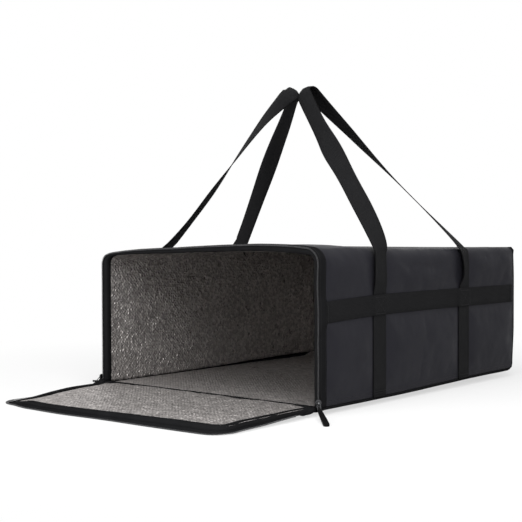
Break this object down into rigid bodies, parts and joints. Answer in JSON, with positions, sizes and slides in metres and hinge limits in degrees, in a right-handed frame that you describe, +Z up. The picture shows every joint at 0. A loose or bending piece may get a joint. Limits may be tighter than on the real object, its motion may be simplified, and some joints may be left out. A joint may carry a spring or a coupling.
{
  "type": "pizza delivery bag",
  "caption": "Insulated pizza delivery bag with a padded front flap, zipper around its edge, webbing carry handles and a silver lining.",
  "frame": {"origin": "on the floor under the middle of the bag's body, on the underside of the bottom panel", "axes": "+X to the bag's right as seen from the open front, +Y from the front opening to the rear panel, +Z up"},
  "size_m": [0.5227, 0.7695, 0.4908],
  "materials": {
    "outer_fabric": "coated polyester, satin, charcoal black",
    "binding": "woven binding and piping, near black",
    "webbing": "ribbed polypropylene webbing, matte black",
    "foam": "closed-cell foam sheet, white, hidden between the layers",
    "foil_liner": "silver metallised film quilted over bubble sheet, glinting",
    "zipper_coil": "nylon zipper coil, grey",
    "slider_metal": "dark nickel and black lacquer",
    "pull_rubber": "black moulded pull, matte"
  },
  "bodies": {
    "bag": {"outer_wrap": "outer_fabric", "outer_rear_panel": "outer_fabric", "outer_bottom_panel": "outer_fabric", "right_piping": "binding", "left_piping": "binding", "rear_piping": "binding", "rim_binding": "binding", "bottom_front_binding": "binding", "hinge_roll": "binding", "right_front_strap": "webbing", "right_rear_strap": "webbing", "left_front_strap": "webbing", "left_rear_strap": "webbing", "right_side_band": "webbing", "left_side_band": "webbing", "foam_right": "foam", "foam_left": "foam", "foam_top": "foam", "foam_rear": "foam", "foam_bottom": "foam", "liner_wrap": "foil_liner", "liner_rear": "foil_liner", "liner_bottom": "foil_liner", "bag_zipper_coil": "zipper_coil"},
    "flap": {"flap_liner": "foil_liner", "flap_foam": "foam", "flap_outer_panel": "outer_fabric", "flap_binding": "binding", "flap_zipper_tape": "binding", "flap_zipper_coil": "zipper_coil"},
    "right_slider": {"right_slider": "slider_metal"},
    "right_pull": {"right_pull_bail": "slider_metal", "right_pull_tab": "pull_rubber"},
    "left_slider": {"left_slider": "slider_metal"},
    "left_pull": {"left_pull_bail": "slider_metal", "left_pull_tab": "pull_rubber"},
    "right_handle": {"right_handle": "webbing"},
    "left_handle": {"left_handle": "webbing"}
  },
  "joints": [
    {"name": "flap_hinge", "type": "hinge", "parent": "bag", "child": "flap", "pos_m": [0, -0.2821, 0.0115], "axis": [-1, 0, 0], "range_deg": [0, 90]},
    {"name": "right_slider_run", "type": "slide", "parent": "bag", "child": "right_slider", "axis": [0, 0, 1], "range_m": [0, 0.174]},
    {"name": "left_slider_run", "type": "slide", "parent": "bag", "child": "left_slider", "axis": [0, 0, 1], "range_m": [0, 0.174]},
    {"name": "right_pull_swing", "type": "hinge", "parent": "right_slider", "child": "right_pull", "pos_m": [0.22395, -0.28575, 0.018], "axis": [-0.7071, -0.7071, 0], "range_deg": [0, 95]},
    {"name": "left_pull_swing", "type": "hinge", "parent": "left_slider", "child": "left_pull", "pos_m": [-0.22558, -0.2818, 0.018], "axis": [0, 1, 0], "range_deg": [0, 95]},
    {"name": "right_handle_swing", "type": "hinge", "parent": "bag", "child": "right_handle", "pos_m": [0.2229, 0, 0.2223], "axis": [0, 1, 0], "range_deg": [0, 165]},
    {"name": "left_handle_swing", "type": "hinge", "parent": "bag", "child": "left_handle", "pos_m": [-0.2229, 0, 0.2223], "axis": [0, -1, 0], "range_deg": [0, 165]}
  ]
}
